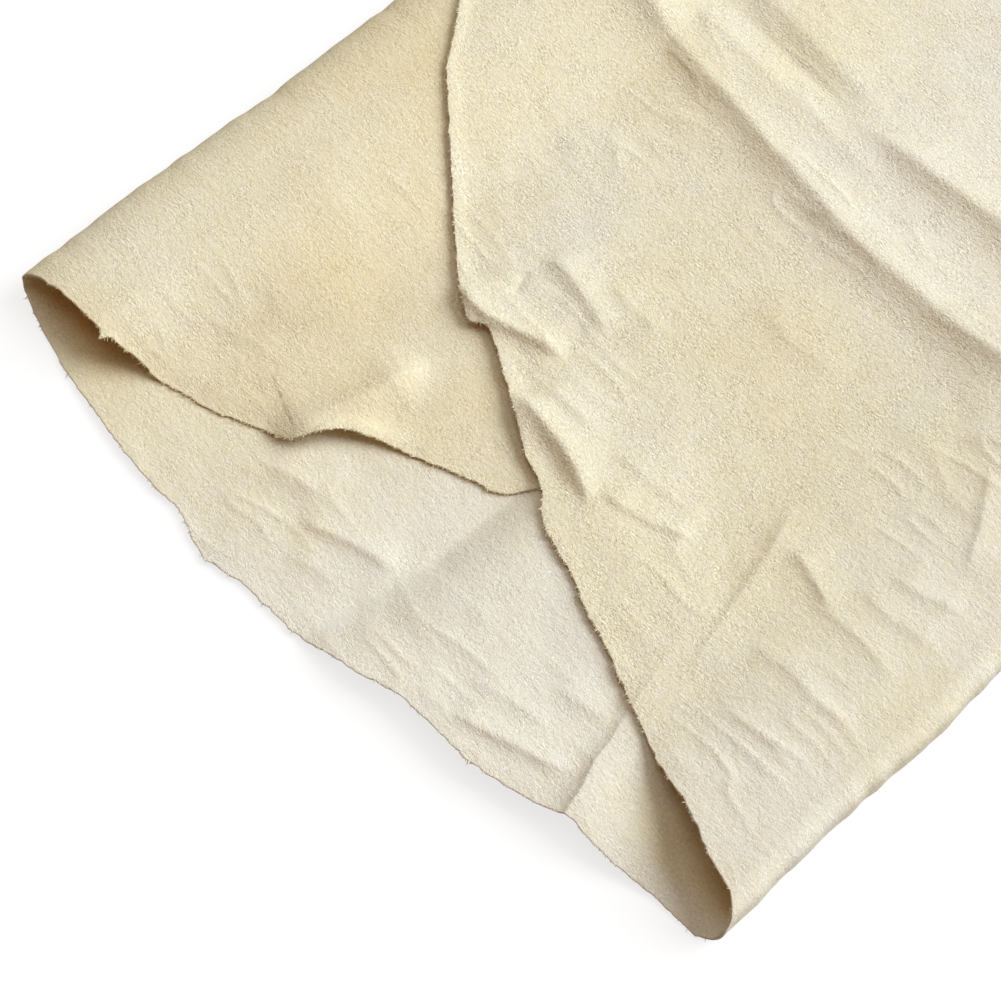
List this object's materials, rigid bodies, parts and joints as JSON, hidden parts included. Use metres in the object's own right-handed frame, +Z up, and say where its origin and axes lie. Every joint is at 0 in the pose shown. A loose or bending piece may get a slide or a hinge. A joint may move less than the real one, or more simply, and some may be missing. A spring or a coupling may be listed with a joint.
{
  "type": "chamois leather",
  "caption": "Soft suede-napped chamois leather skin for drying and polishing, folded in three like a letter, with flaps that open out flat.",
  "frame": {"origin": "under the middle of the folded strip, on the plane it rests on", "axes": "+Z up; +Y along the folds, away from the open end in the picture; +X across the strip, towards the fold of the upper flap"},
  "size_m": [0.245, 0.4699, 0.0166],
  "materials": {
    "base_panel": "pale buff chamois, napped on both faces",
    "left_bend": "pale buff chamois, napped on both faces",
    "left_flap": "warm buff chamois, napped on both faces",
    "right_bend": "cream chamois, napped on both faces",
    "right_flap": "cream chamois, napped on both faces"
  },
  "bodies": {
    "base": {"base_panel": "base_panel"},
    "left_bend": {"left_bend": "left_bend"},
    "left_flap": {"left_flap": "left_flap"},
    "right_bend": {"right_bend": "right_bend"},
    "right_flap": {"right_flap": "right_flap"}
  },
  "joints": [
    {"name": "right_bend_lower", "type": "hinge", "parent": "base", "child": "right_bend", "pos_m": [0.12044, 0, 0.00206], "axis": [0, 1, 0], "range_deg": [0, 89.6]},
    {"name": "right_flap_open", "type": "hinge", "parent": "right_bend", "child": "right_flap", "pos_m": [0.12044, 0, 0.01204], "axis": [0, 1, 0], "range_deg": [0, 89.6]},
    {"name": "left_bend_lower", "type": "hinge", "parent": "base", "child": "left_bend", "pos_m": [-0.12058, 0, 0.00192], "axis": [0, -1, 0], "range_deg": [0, 89.6]},
    {"name": "left_flap_open", "type": "hinge", "parent": "left_bend", "child": "left_flap", "pos_m": [-0.12058, 0, 0.01118], "axis": [0, -1, 0], "range_deg": [0, 89.6]}
  ],
  "couplings": [
    {"joint": "right_bend_lower", "follows": "right_flap_open", "ratio": 1},
    {"joint": "left_bend_lower", "follows": "right_flap_open", "ratio": 1},
    {"joint": "left_flap_open", "follows": "right_flap_open", "ratio": 1}
  ]
}
